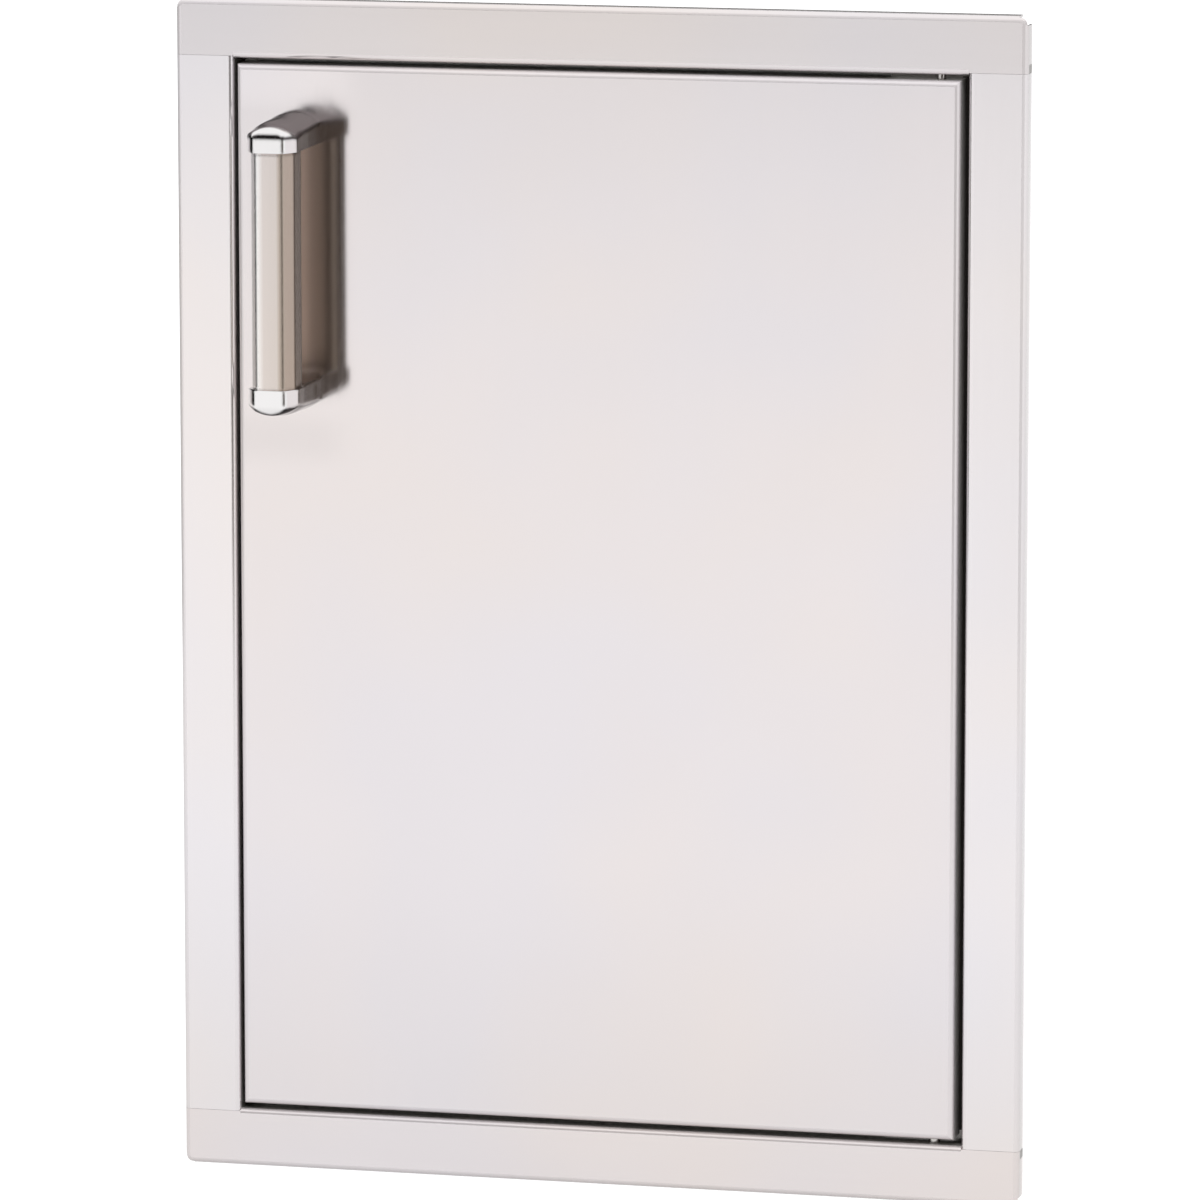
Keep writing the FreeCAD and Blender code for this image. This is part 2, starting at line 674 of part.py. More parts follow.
def handle_grip():
    """The grip is a hollow extrusion with the section of the ends, drawn in a little."""
    tall = vec(0, 0, GRIP_L)
    bar = Part.Face(handle_plan(GRIP_INSET, GRIP_INSET, GRIP_D, GRIP_FOOT)).extrude(tall)
    bar = bar.makeFillet(GRIP_BACK_R, upright_edges(bar, GRIP_D, GRIP_D))
    bar = bar.makeFillet(GRIP_SIDE_R, upright_edges(bar, FACET_D, FACET_D + GRIP_INSET))
    bar = bar.makeFillet(GRIP_EDGE_R, upright_edges(bar, GRIP_INSET, GRIP_INSET))
    inset = GRIP_INSET + GRIP_WALL
    inner_back = GRIP_D - GRIP_WALL
    bore = Part.Face(handle_plan(inset, inset, inner_back, GRIP_FOOT)).extrude(tall)
    return bar.cut(bore.makeFillet(GRIP_BACK_R - GRIP_WALL, upright_edges(bore, inner_back, inner_back)))


def backing_plate():
    """A plate behind the front skin spreads the handle's pull."""
    low, high = screw_places()
    plate = block(HANDLE_X - BACKING_W / 2, HANDLE_X + BACKING_W / 2, SKIN_BACK_Y,
                  SKIN_BACK_Y + BACKING_T, low - BACKING_END, high + BACKING_END)
    for z in (low, high):
        plate = plate.cut(handle_screw_hole(z, SKIN_BACK_Y - PAST, SKIN_BACK_Y + BACKING_T + PAST))
    return plate


def handle_washers():
    y0 = SKIN_BACK_Y + BACKING_T
    return group([tube(WASHER_R, HANDLE_SCREW_R + SCREW_HOLE_FIT, vec(HANDLE_X, y0, z),
                       vec(HANDLE_X, y0 + WASHER_T, z)) for z in screw_places()])


def handle_screws():
    """The screws go in from inside the door, through the plate and skin, into the posts."""
    seat = SKIN_BACK_Y + BACKING_T + WASHER_T
    screw = pan_screw(HANDLE_SCREW_R, HANDLE_SCREW_HEAD_R, HANDLE_SCREW_HEAD_T,
                      seat - FACE_Y + HANDLE_SCREW_BITE)
    screw = screw.mirror(vec(0, 0, 0), vec(0, 1, 0))
    return group([moved(screw, HANDLE_X, seat, z) for z in screw_places()])


def hole_plugs():
    """Snap plugs close the liner's holes over the handle screws."""
    plugs = []
    for z in screw_places():
        disc = rod(PLUG_R, vec(HANDLE_X, DOOR_BACK_Y, z), vec(HANDLE_X, DOOR_BACK_Y + PLUG_T, z))
        rim = [e for e in disc.Edges if e.BoundBox.YMin > DOOR_BACK_Y + PLUG_T - TINY]
        disc = disc.makeFillet(PLUG_T * HEAD_ROUND, rim)
        outer = ACCESS_R - PLUG_FIT
        skirt = tube(outer, outer - PLUG_WALL, vec(HANDLE_X, LINER_INNER_Y - PLUG_SKIRT, z),
                     vec(HANDLE_X, DOOR_BACK_Y, z))
        plugs.append(disc.fuse(skirt).removeSplitter())
    return group(plugs)


# Pivots


def pivot_plate():
    """A plate over the top rail's jamb; the same plate is used under the bottom rail's."""
    y0 = FACE_Y + BEND + PLATE_EDGE
    return block(PIVOT_X - PLATE_W / 2, PIVOT_X + PLATE_W / 2, y0, y0 + PLATE_D,
                 JAMB_Z, JAMB_Z + PLATE_T)


def upper_pivot_plate():
    return pivot_plate().cut(upright(BUSH_R, JAMB_Z - PAST, JAMB_Z + PLATE_T + PAST))


def lower_pivot_plate():
    return flip_z(pivot_plate()).cut(upright(COLLAR_R, -JAMB_Z - PLATE_T - PAST, PAST - JAMB_Z))


def upper_pivot_bushing():
    """A flanged nylon bushing, let into the top jamb and its plate from above."""
    seat = JAMB_Z + PLATE_T
    bushing = upright(BUSH_R, OPEN_Z, seat)
    bushing = bushing.fuse(upright(BUSH_FLANGE_R, seat, seat + BUSH_FLANGE_T)).removeSplitter()
    return bushing.cut(upright(PIN_R + PIN_FIT, OPEN_Z - PAST, seat + BUSH_FLANGE_T + PAST))


def lower_pivot_pin():
    """The fixed pin: a head under the plate, a collar in the gap and a journal in the door."""
    seat = -JAMB_Z - PLATE_T
    shoulder = -DOOR_Z - LIFT_GAP
    journal = upright(PIN_R, shoulder, shoulder + JOURNAL)
    tip = [e for e in journal.Edges if e.BoundBox.ZMin > shoulder + JOURNAL - TINY]
    parts = [upright(COLLAR_R, seat, shoulder), journal.makeChamfer(TIP_CHAMFER, tip)]
    return upright(PIN_HEAD_R, seat - PIN_HEAD_T, seat).fuse(parts).removeSplitter()


def hinge_plate():
    """A thick plate over the door's bottom return holds the lower bushing upright."""
    plate = block(INNER_X - HINGE_PLATE_W, INNER_X, PIVOT_Y - BRACKET_D / 2,
                  PIVOT_Y + BRACKET_D / 2, -INNER_Z, PLATE_T - INNER_Z)
    return plate.cut(upright(BUSH_R, -INNER_Z - PAST, PLATE_T - INNER_Z + PAST))


def lower_pivot_bushing():
    seat = PLATE_T - INNER_Z
    bushing = upright(BUSH_R, -DOOR_Z, LOWER_BUSH_H - DOOR_Z)
    bushing = bushing.fuse(upright(BUSH_FLANGE_R, seat, seat + BUSH_FLANGE_T)).removeSplitter()
    return bushing.cut(upright(PIN_R + PIN_FIT, -DOOR_Z - PAST, LOWER_BUSH_H - DOOR_Z + PAST))


def guide_bracket():
    """A channel inside the door's upper corner guides the sprung pin in both its arms."""
    y0 = PIVOT_Y - BRACKET_D / 2
    path = [(INNER_X - BRACKET_ARM, INNER_Z), (INNER_X, INNER_Z),
            (INNER_X, INNER_Z - BRACKET_H), (INNER_X - BRACKET_ARM, INNER_Z - BRACKET_H)]
    path = path[::-1]
    bracket = folded(path, lambda x, z: vec(x, y0, z), vec(0, BRACKET_D, 0),
                     sheet=BRACKET_T, bend=BRACKET_BEND)
    bracket = bracket.cut(upright(BUSH_R, INNER_Z - BRACKET_T - PAST, INNER_Z + PAST))
    return bracket.cut(upright(PIN_R + PIN_FIT, SPRING_Z - BRACKET_T - PAST, SPRING_Z + PAST))


def upper_door_bushing():
    seat = INNER_Z - BRACKET_T
    bushing = upright(BUSH_R, seat, DOOR_Z)
    bushing = bushing.fuse(upright(BUSH_FLANGE_R, seat - BUSH_FLANGE_T, seat)).removeSplitter()
    return bushing.cut(upright(PIN_R + PIN_FIT, seat - BUSH_FLANGE_T - PAST, DOOR_Z + PAST))


def upper_pivot_pin():
    """The sprung pin: it drops out of the frame's bushing when its lever is pulled down."""
    foot = SPRING_Z - BRACKET_T - PIN_TAIL
    tip = OPEN_Z + PIN_REACH
    pin = upright(PIN_R, foot, tip)
    ends = [e for e in pin.Edges if e.BoundBox.ZLength < TINY]
    pin = pin.makeChamfer(TIP_CHAMFER, ends)
    groove = upright(PIN_R + PAST, CLIP_Z, CLIP_Z + CLIP_T)
    groove = groove.cut(upright(PIN_R - GROOVE_DEPTH, CLIP_Z, CLIP_Z + CLIP_T))
    pin = pin.cut(groove)
    return pin.cut(rod(LEVER_R, vec(PIVOT_X, PIVOT_Y - PIN_R - PAST, LEVER_Z),
                       vec(PIVOT_X, PIVOT_Y + PIN_R + PAST, LEVER_Z)))


def pin_clip():
    return upright(CLIP_R, CLIP_Z, CLIP_Z + CLIP_T).cut(
        upright(PIN_R - GROOVE_DEPTH, CLIP_Z, CLIP_Z + CLIP_T))


def pin_lever():
    """A stud through the pin, with a knob behind the door to pull it down by."""
    y0 = DOOR_BACK_Y + KNOB_GAP
    stud = rod(LEVER_R, vec(PIVOT_X, PIVOT_Y - PIN_R, LEVER_Z), vec(PIVOT_X, y0, LEVER_Z))
    knob = rod(KNOB_R, vec(PIVOT_X, y0, LEVER_Z), vec(PIVOT_X, y0 + KNOB_L, LEVER_Z))
    rim = [e for e in knob.Edges if e.BoundBox.YLength < TINY]
    return stud.fuse(knob.makeFillet(KNOB_EDGE_R, rim)).removeSplitter()


def pin_spring():
    """A coil spring on the pin, between the bracket's lower arm and the clip.

    The wire is drawn with a many-sided section, which stays light as a surface.
    """
    height = SPRING_H - 2 * SPRING_WIRE_R
    helix = Part.makeHelix(height / SPRING_TURNS, height, SPRING_MEAN_R)
    turns = [2 * math.pi * i / SPRING_WIRE_SIDES for i in range(SPRING_WIRE_SIDES + 1)]
    section = Part.makePolygon([vec(SPRING_MEAN_R + SPRING_WIRE_R * math.cos(turn), 0,
                                    SPRING_WIRE_R * math.sin(turn)) for turn in turns])
    coil = Part.Wire(helix).makePipeShell([section], True, True)
    return moved(coil, PIVOT_X, PIVOT_Y, SPRING_Z + SPRING_WIRE_R)


NODES = {
    "frame_top_rail": top_rail,
    "frame_bottom_rail": bottom_rail,
    "frame_hinge_stile": hinge_stile,
    "frame_latch_stile": lambda: flip_x(hinge_stile()),
    "corner_splice_plates": splice_plates,
    "latch_stop_strip": latch_stop,
    "top_stop_strip": top_stop,
    "bottom_stop_strip": lambda: flip_z(top_stop()),
    "door_bumpers": bumpers,
    "catch_housings": lambda: each_catch(catch_housing),
    "catch_magnets": lambda: each_catch(catch_magnet),
    "catch_pole_plates": lambda: each_catch(catch_poles),
    "catch_screws": lambda: each_catch(catch_screws),
    "upper_pivot_plate": upper_pivot_plate,
    "upper_pivot_bushing": upper_pivot_bushing,
    "lower_pivot_plate": lower_pivot_plate,
    "lower_pivot_pin": lower_pivot_pin,
    "door_outer_skin": outer_skin,
    "door_liner": liner,
    "door_stiffeners": stiffeners,
    "handle_backing_plate": backing_plate,
    "handle_grip": handle_grip,
    "upper_handle_end": handle_end,
    "lower_handle_end": lower_handle_end,
    "handle_washers": handle_washers,
    "handle_screws": handle_screws,
    "liner_hole_plugs": hole_plugs,
    "strike_plates": lambda: each_catch(strike_plate),
    "strike_rivets": lambda: each_catch(strike_rivets),
    "lower_hinge_plate": hinge_plate,
    "lower_pivot_bushing": lower_pivot_bushing,
    "pin_guide_bracket": guide_bracket,
    "upper_door_bushing": upper_door_bushing,
    "upper_pivot_pin": upper_pivot_pin,
    "pin_clip": pin_clip,
    "pin_lever": pin_lever,
    "pin_spring": pin_spring,
}

os.makedirs("parts", exist_ok=True)
for name, make in NODES.items():
    shape = make()
    shape.exportStep("parts/" + name + ".step")
    print(name, shape.isValid(), len(shape.Solids), round(shape.Volume, 1))
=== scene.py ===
# %% [markdown]
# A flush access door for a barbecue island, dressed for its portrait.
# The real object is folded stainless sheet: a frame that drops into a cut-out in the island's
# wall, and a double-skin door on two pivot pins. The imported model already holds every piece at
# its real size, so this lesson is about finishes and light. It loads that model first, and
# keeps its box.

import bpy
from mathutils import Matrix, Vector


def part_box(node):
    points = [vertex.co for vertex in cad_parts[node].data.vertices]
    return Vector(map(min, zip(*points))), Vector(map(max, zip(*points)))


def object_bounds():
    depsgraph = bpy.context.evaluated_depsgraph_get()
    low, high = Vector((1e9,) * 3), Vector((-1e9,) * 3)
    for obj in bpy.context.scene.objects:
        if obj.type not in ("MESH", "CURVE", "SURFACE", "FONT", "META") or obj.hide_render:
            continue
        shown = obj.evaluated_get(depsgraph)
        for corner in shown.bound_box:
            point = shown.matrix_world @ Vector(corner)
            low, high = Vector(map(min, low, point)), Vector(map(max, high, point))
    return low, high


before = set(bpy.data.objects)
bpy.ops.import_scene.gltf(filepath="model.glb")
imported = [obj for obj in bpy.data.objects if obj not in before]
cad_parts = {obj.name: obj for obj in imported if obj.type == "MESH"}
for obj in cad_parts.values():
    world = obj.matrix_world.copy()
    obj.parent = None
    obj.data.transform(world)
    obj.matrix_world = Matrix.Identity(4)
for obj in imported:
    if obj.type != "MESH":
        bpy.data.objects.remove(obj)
cad_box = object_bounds()
print("nodes", len(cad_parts), "box", [tuple(round(v, 4) for v in p) for p in cad_box])

# %% [markdown]
# Blender works in metres and in linear light. Sizes of finishes are easier to think of in
# millimetres, and colours as the hex codes of a colour picker. So a length is written as a number
# times MM, and one function turns a code into the linear colour that a shader needs.

# %% Units and colours
MM = 0.001


def linear(code):
    """The linear colour, with alpha, of an sRGB hex code."""
    channels = [int(code[i:i + 2], 16) / 255 for i in (1, 3, 5)]
    return tuple(c / 12.92 if c <= 0.04045 else ((c + 0.055) / 1.055) ** 2.4
                 for c in channels) + (1.0,)


print("mid grey is", round(linear("#808080")[0], 3))

# %% [markdown]
# A material is a small network of nodes. It could be drawn by hand in the Shader Editor, but a
# script can be read, changed and run again. Writing a node out takes three lines, so one
# function adds a node, gives it its settings and its sockets' values, and links it.

# %% The node helper
import bpy


def add(tree, kind, values=None, links=None, **settings):
    """Adds a shader node. values and links are keyed by the socket's name or number."""
    node = tree.nodes.new("ShaderNode" + kind)
    for name, value in settings.items():
        setattr(node, name, value)
    for name, value in (values or {}).items():
        node.inputs[name].default_value = value
    for name, source in (links or {}).items():
        tree.links.new(source, node.inputs[name])
    return node


def new_material(name):
    """An empty material, and the tree of nodes that is its recipe."""
    material = bpy.data.materials.new(name)
    material.use_nodes = True
    material.node_tree.nodes.clear()
    return material, material.node_tree


print("node helpers for Blender", bpy.app.version_string)

# %% [markdown]
# A finish may be one even tone. It may also change across a piece, where the belt has bitten
# harder or where light hardly reaches. That could be painted on an image, but an image is tied to
# one size and one shape. So here it is a run of tones along an axis, worked out from the place of
# each point.

# %% Even tones and runs of tones


def fill(tree, socket, finish, place):
    """Fills a colour socket with one code, or with (axis, start, end, tones).

    Each tone is a share of the way from start to end, and a code."""
    if isinstance(finish, str):
        socket.default_value = linear(finish)[:len(socket.default_value)]
        return
    axis, start, end, tones = finish
    parts = add(tree, "SeparateXYZ", None, {"Vector": place})
    share = add(tree, "MapRange", {"From Min": start, "From Max": end},
                {"Value": parts.outputs[axis]})
    run = add(tree, "ValToRGB", None, {"Fac": share.outputs["Result"]})
    stops = run.color_ramp.elements
    while len(stops) < len(tones):
        stops.new(1.0)
    for stop, (at, code) in zip(stops, tones):
        stop.position = at
        stop.color = linear(code)
    tree.links.new(run.outputs["Color"], socket)


print("a finish is a code, or an axis with a start, an end and tones between them")

# %% [markdown]
# Brushed stainless steel is sheet that a belt of abrasive has scratched one way. The scratches
# are about a tenth of a millimetre wide, so what the eye gets isn't lines but a reflection that
# is smeared across them, and a faint streaking along them. The smear is the shader's anisotropy.
# It stretches a highlight along the tangent, so the tangent lies across the brushing. The
# streaks are noise stretched along it. They are drawn about 1 mm wide, ten times too coarse,
# because finer ones wouldn't show.

# %% Streaks of the brushing
STREAK_WIDE = 1.1 * MM
STREAK_LONG = 220 * MM


def streaks(tree, place, along):
    """Noise drawn out along one axis: 0 to 1, about 0.5 on average."""
    fine = 1 / STREAK_WIDE
    coarse = 1 / STREAK_LONG
    scale = {"x": (coarse, fine, fine), "z": (fine, fine, coarse)}[along]
    stretched = add(tree, "Mapping", {"Scale": scale}, {"Vector": place})
    return add(tree, "TexNoise", {"Scale": 1.0, "Detail": 3.0, "Roughness": 0.65},
               {"Vector": stretched.outputs["Vector"]}).outputs["Fac"]


print("streaks are", STREAK_WIDE, "m wide and", STREAK_LONG, "m long")

# %% [markdown]
# Steel isn't one grey all over. A slow noise makes it a little lighter here and darker there, and
# the streaks add to that. A slower noise still drifts the tint between warm and cool, as the
# clear film on stainless does. It is kept to one line between two tints: three channels that
# drift by themselves look like mother of pearl.

# %% Tone of brushed steel
CLOUD = 90 * MM
CLOUD_SHARE = 0.6
TONE_REACH = 0.3
BLUSH = 240 * MM
BLUSH_REACH = 0.12
WARM, COOL = "#FFFDFA", "#FBFCFE"


def brushed_tone(tree, place, streak, front, contrast):
    """The front's colour, varied by contrast and by the drift of its tint."""
    clouds = add(tree, "TexNoise", {"Scale": 1 / CLOUD, "Detail": 1.0}, {"Vector": place})
    both = add(tree, "Math", {1: CLOUD_SHARE}, {0: clouds.outputs["Fac"], 2: streak},
               operation="MULTIPLY_ADD")
    middle = (CLOUD_SHARE + 1) / 2
    tone = add(tree, "MapRange", {"From Min": middle - TONE_REACH, "From Max": middle + TONE_REACH,
                                  "To Min": 1 - contrast, "To Max": 1 + contrast},
               {"Value": both.outputs["Value"]})
    colour = add(tree, "VectorMath", None, {"Scale": tone.outputs["Result"]}, operation="SCALE")
    fill(tree, colour.inputs[0], front, place)
    blush = add(tree, "TexNoise", {"Scale": 1 / BLUSH, "Detail": 2.0}, {"Vector": place})
    warmth = add(tree, "MapRange", {"From Min": 0.5 - BLUSH_REACH, "From Max": 0.5 + BLUSH_REACH},
                 {"Value": blush.outputs["Fac"]})
    drift = add(tree, "Mix", {"A": linear(WARM), "B": linear(COOL)},
                {"Factor": warmth.outputs["Result"]}, data_type="RGBA")
    return add(tree, "VectorMath", None, {0: colour.outputs["Vector"],
                                          1: drift.outputs["Result"]},
               operation="MULTIPLY").outputs["Vector"]


print("clouds are", CLOUD, "m wide, the tint drifts over", BLUSH, "m")

# %% [markdown]
# The belt only reaches the outside of the sheet. Behind the first bend, in the frame's throat
# and on the door's returns, the steel is as the mill rolled it: duller, and greyer, which is
# partly the mill's grey and partly painted shade, since little light gets in there. The finish
# finds those places by their depth behind the face, and by their distance from the middle for the
# frame, whose outer returns are brushed as well. A mask in the material does this without
# cutting the sheet's mesh up.

# %% Where the brushing ends
FACE_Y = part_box("door_outer_skin")[0].y
FADE = 0.6 * MM


def behind_face(tree, place, depth, axis=None, within=None):
    """1 where a point is deeper than depth and, if an axis is given, within a distance of 0."""
    parts = add(tree, "SeparateXYZ", None, {"Vector": place})
    deep = add(tree, "MapRange", {"From Min": FACE_Y + depth, "From Max": FACE_Y + depth + FADE},
               {"Value": parts.outputs["Y"]}).outputs["Result"]
    if axis is None:
        return deep
    out = add(tree, "Math", None, {0: parts.outputs[axis]}, operation="ABSOLUTE")
    inner = add(tree, "Math", {1: within}, {0: out.outputs["Value"]}, operation="LESS_THAN")
    return add(tree, "Math", None, {0: deep, 1: inner.outputs["Value"]},
               operation="MULTIPLY").outputs["Value"]


print("face at", round(FACE_Y, 4))

# %% [markdown]
# The bends are broken with a sanding disc, so that nobody cuts a hand on them: coarsely all
# round the outside, and lightly round the opening and the door. Sanded steel scatters light
# nearly as matt paint does. A second material for the bends would end in a hard line, so the
# bend is found by its depth behind the face, and there the shader is only partly metal. It
# starts right behind the flat, because the disc leaves a crisp line along the face.

# %% Sanded bends
BEND_START = 0.003 * MM
OUTER_BAND = 10 * MM
OUTER_METAL = 0.2


def sanded_bend(tree, place, inner_metal, end):
    """The share of metal: full on the face, less down to the depth end, then full again."""
    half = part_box("frame_top_rail")[1]
    parts = add(tree, "SeparateXYZ", None, {"Vector": place})
    past = []
    for axis, reach in (("X", half.x), ("Z", half.z)):
        away = add(tree, "Math", None, {0: parts.outputs[axis]}, operation="ABSOLUTE")
        past.append(add(tree, "Math", {1: reach - OUTER_BAND}, {0: away.outputs["Value"]},
                        operation="GREATER_THAN").outputs["Value"])
    outside = add(tree, "Math", None, {0: past[0], 1: past[1]}, operation="MAXIMUM")
    share = add(tree, "MapRange", {"To Min": inner_metal, "To Max": OUTER_METAL},
                {"Value": outside.outputs["Value"]})
    into = add(tree, "MapRange", {"From Min": FACE_Y + BEND_START,
                                  "From Max": FACE_Y + 2 * BEND_START, "To Min": 1.0},
               {"Value": parts.outputs["Y"], "To Max": share.outputs["Result"]})
    return add(tree, "MapRange", {"From Min": FACE_Y + end, "From Max": FACE_Y + end + FADE,
                                  "To Max": 1.0},
               {"Value": parts.outputs["Y"], "To Min": into.outputs["Result"]}).outputs["Result"]


# %% [markdown]
# The recipe puts these together. The streaks vary the gloss as well as the tone, and a faint bump
# lets them catch the lamp. The Bevel node rounds the look of the edges a little, as the belt
# does, so that they catch a line of light. A real round that small would cost many faces.

# %% Brushed stainless
NOISE_LOW, NOISE_HIGH = 0.3, 0.7
GLOSS_SPREAD = 0.02
MILL_ROUGHNESS = 0.36
SCRATCH_DEPTH = 0.02 * MM
EDGE_ROUND = 0.12 * MM


def brushed_stainless(name, front, back, along, smear, roughness, anisotropy, deep,
                      contrast=0.012, edge=EDGE_ROUND, bend=None, dent=None):
    """Stainless brushed along "x" or "z", with reflections drawn out along smear, "X" or "Z".

    front and back are what fill takes, for the brushed side and for the dull one. deep holds
    what behind_face takes, and bend what sanded_bend takes. dent can bend the normal."""
    # The tones given for front or back can carry painted light and painted shade.
    material, tree = new_material(name)
    place = add(tree, "TexCoord").outputs["Object"]
    streak = streaks(tree, place, along)
    gloss = add(tree, "MapRange", {"From Min": NOISE_LOW, "From Max": NOISE_HIGH,
                                   "To Min": roughness - GLOSS_SPREAD,
                                   "To Max": roughness + GLOSS_SPREAD}, {"Value": streak})
    brushed = brushed_tone(tree, place, streak, front, contrast)
    # dull marks the mill finish, and also where the back's tones put painted shade.
    dull = behind_face(tree, place, **deep)
    mixed = add(tree, "Mix", None, {"Factor": dull, "A": brushed}, data_type="RGBA")
    fill(tree, mixed.inputs["B"], back, place)
    rough = add(tree, "MapRange", {"To Max": MILL_ROUGHNESS},
                {"Value": dull, "To Min": gloss.outputs["Result"]})
    normal = add(tree, "Bevel", {"Radius": edge}, samples=6).outputs["Normal"]
    if dent:
        normal = dent(tree, place, normal)
    grain = add(tree, "Bump", {"Strength": 0.05, "Distance": SCRATCH_DEPTH},
                {"Height": streak, "Normal": normal})
    drawn = add(tree, "CombineXYZ", {smear: 1.0})
    steel = add(tree, "BsdfPrincipled", {"Metallic": 1.0, "Anisotropic": anisotropy},
                {"Base Color": mixed.outputs["Result"], "Roughness": rough.outputs["Result"],
                 "Normal": grain.outputs["Normal"], "Tangent": drawn.outputs["Vector"]})
    if bend:
        tree.links.new(sanded_bend(tree, place, **bend), steel.inputs["Metallic"])
    add(tree, "OutputMaterial", None, {"Surface": steel.outputs["BSDF"]})
    return material


print("roughness behind the bend is", MILL_ROUGHNESS)

# %% [markdown]
# The door's skin is thin, and the handle's screws pull it in a little. It can't be seen as a
# dent, but it stretches the handle's mirror image to the right and upwards. It is too shallow to
# be worth a finer mesh, so a Bump node makes it: a dish with its rim a finger's width or two away
# from the handle.

# %% Pull of the handle's screws
PULL = 0.9 * MM
DISH_WIDE = 30 * MM
DISH_HIGH = 34 * MM


def pulled_in(tree, place, normal):
    """The normal of a sheet that the handle's screws pull in."""
    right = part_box("handle_grip")[1].x
    low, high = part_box("lower_handle_end")[0].z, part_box("upper_handle_end")[1].z
    parts = add(tree, "SeparateXYZ", None, {"Vector": place})
    near = add(tree, "MapRange", {"From Min": right + DISH_WIDE, "From Max": right},
               {"Value": parts.outputs["X"]}, interpolation_type="SMOOTHSTEP")
    level = add(tree, "Math", {1: (low + high) / 2}, {0: parts.outputs["Z"]},
                operation="SUBTRACT")
    away = add(tree, "Math", None, {0: level.outputs["Value"]}, operation="ABSOLUTE")
    between = add(tree, "MapRange", {"From Min": (high - low) / 2 + DISH_HIGH,
                                     "From Max": (high - low) / 2},
                  {"Value": away.outputs["Value"]}, interpolation_type="SMOOTHSTEP")
    dish = add(tree, "Math", None, {0: near.outputs["Result"], 1: between.outputs["Result"]},
               operation="MULTIPLY")
    return add(tree, "Bump", {"Strength": 1.0, "Distance": PULL},
               {"Height": dish.outputs["Value"], "Normal": normal}, invert=True).outputs["Normal"]


print("skin is pulled in by", PULL, "m")

# %% [markdown]
# The door's skin is brushed upright and has been gone over last with a fine pad, up and down.
# That draws its reflection of the handle out upwards and leaves it sharp sideways, so its
# tangent is upright. Its returns are rolled steel that the sanding disc has reached. Their tones
# are painted shade: pale at the bend and darker towards the back, where hardly any light gets
# into the gap.

# %% The door's skin
BEND_DEPTH = 3.2 * MM
RETURN_END = 22 * MM
# Painted shade: pale at the bend, darker towards the back of the gap.
RETURN_PAINTED_SHADE = [(0.0, "#FFFDFC"), (0.45, "#E0DCDA"), (1.0, "#605E5C")]

door_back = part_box("door_outer_skin")[1].y
door_steel = brushed_stainless("brushed stainless door", front="#EFE9EA",
                               back=("Y", FACE_Y + BEND_DEPTH, door_back, RETURN_PAINTED_SHADE),
                               along="z", smear="Z", roughness=0.14, anisotropy=0.6,
                               deep={"depth": BEND_DEPTH},
                               bend={"inner_metal": 0.3, "end": RETURN_END}, dent=pulled_in)
print("returns are", round(door_back - FACE_Y, 4), "m deep")

# %% [markdown]
# The frame is four folded strips of such sheet. The belt runs along each strip, so the stiles are
# brushed upright and the rails along, and the seams show where the two directions meet. The
# tangent lies across the belt's path on both. Inside the opening they are dull, and their grey is
# partly the mill's and partly painted shade. The strip that stops the door stands in the opening
# from top to bottom, so its box gives the opening's size. The top rail's colour is a shade darker
# than the bottom one's, which is painted shade, so each has a material of its own.

# %% The frame's sheets
JAMB_FRONT = 8 * MM
THROAT_MARGIN = 6 * MM
# Mill grey, darkened further as painted shade inside the opening.
MILL_GREY_AND_PAINTED_SHADE = "#A39F9C"

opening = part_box("latch_stop_strip")
half_open_x, half_open_z = -opening[0].x, opening[1].z
stile_throat = {"depth": BEND_DEPTH, "axis": "X", "within": half_open_x + THROAT_MARGIN}
rail_throat = {"depth": BEND_DEPTH, "axis": "Z", "within": half_open_z + THROAT_MARGIN}
stile_steel = brushed_stainless("brushed stainless stile", front="#F4EFF0", back=MILL_GREY_AND_PAINTED_SHADE,
                                along="z", smear="X", roughness=0.16, anisotropy=0.4,
                                deep=stile_throat,
                                bend={"inner_metal": 0.75, "end": JAMB_FRONT})
rail_belt = {"along": "x", "smear": "Z", "roughness": 0.15, "anisotropy": 0.4}
# Painted shade: the top rail's colour is darker than the bottom rail's.
top_steel = brushed_stainless("brushed stainless top rail", front="#EBE5E5", back=MILL_GREY_AND_PAINTED_SHADE,
                              deep=rail_throat, bend={"inner_metal": 0.7, "end": JAMB_FRONT},
                              **rail_belt)
foot_steel = brushed_stainless("brushed stainless bottom rail", front="#F1EAEA", back=MILL_GREY_AND_PAINTED_SHADE,
                               deep=rail_throat, bend={"inner_metal": 0.5, "end": JAMB_FRONT},
                               **rail_belt)
print("opening is", round(2 * half_open_x, 4), "by", round(2 * half_open_z, 4), "m")

# %% [markdown]
# The grip is a hollow extrusion, brushed upright on its front and facets. The brushing is
# coarser than the sheet's and the steel a little warmer. The front's run of tones is painted
# light: a painted highlight along the left edge and painted shade on the right facet. The back
# only shows as a mirror image in the door, and is as extruded; its browner, darker run of tones
# is painted shade. Both sides are runs of tones across the grip. Depths are measured from the
# door's face, so the depth at which the back begins is negative. The extrusion's edges are
# rounder than the sheet's, which the Bevel radius gives.

# %% Brushed grip
GRIP_BACK_DEPTH = -33 * MM
GRIP_EDGE_ROUND = 3.0 * MM
# Painted light: a painted highlight at the left edge, and painted shade on the right facet.
GRIP_FRONT_PAINTED_LIGHT = [(0.22, "#FFFDFC"), (0.36, "#E2D9D5"), (0.66, "#DED5D0"), (0.74, "#BFB2A7")]
# Painted shade on the back, seen in the door's mirror image: browner and darker to the right.
GRIP_BACK_PAINTED_SHADE = [(0.40, "#D8C8B8"), (0.57, "#BAAB9D"), (0.71, "#AC9F91"), (0.86, "#8B8175")]

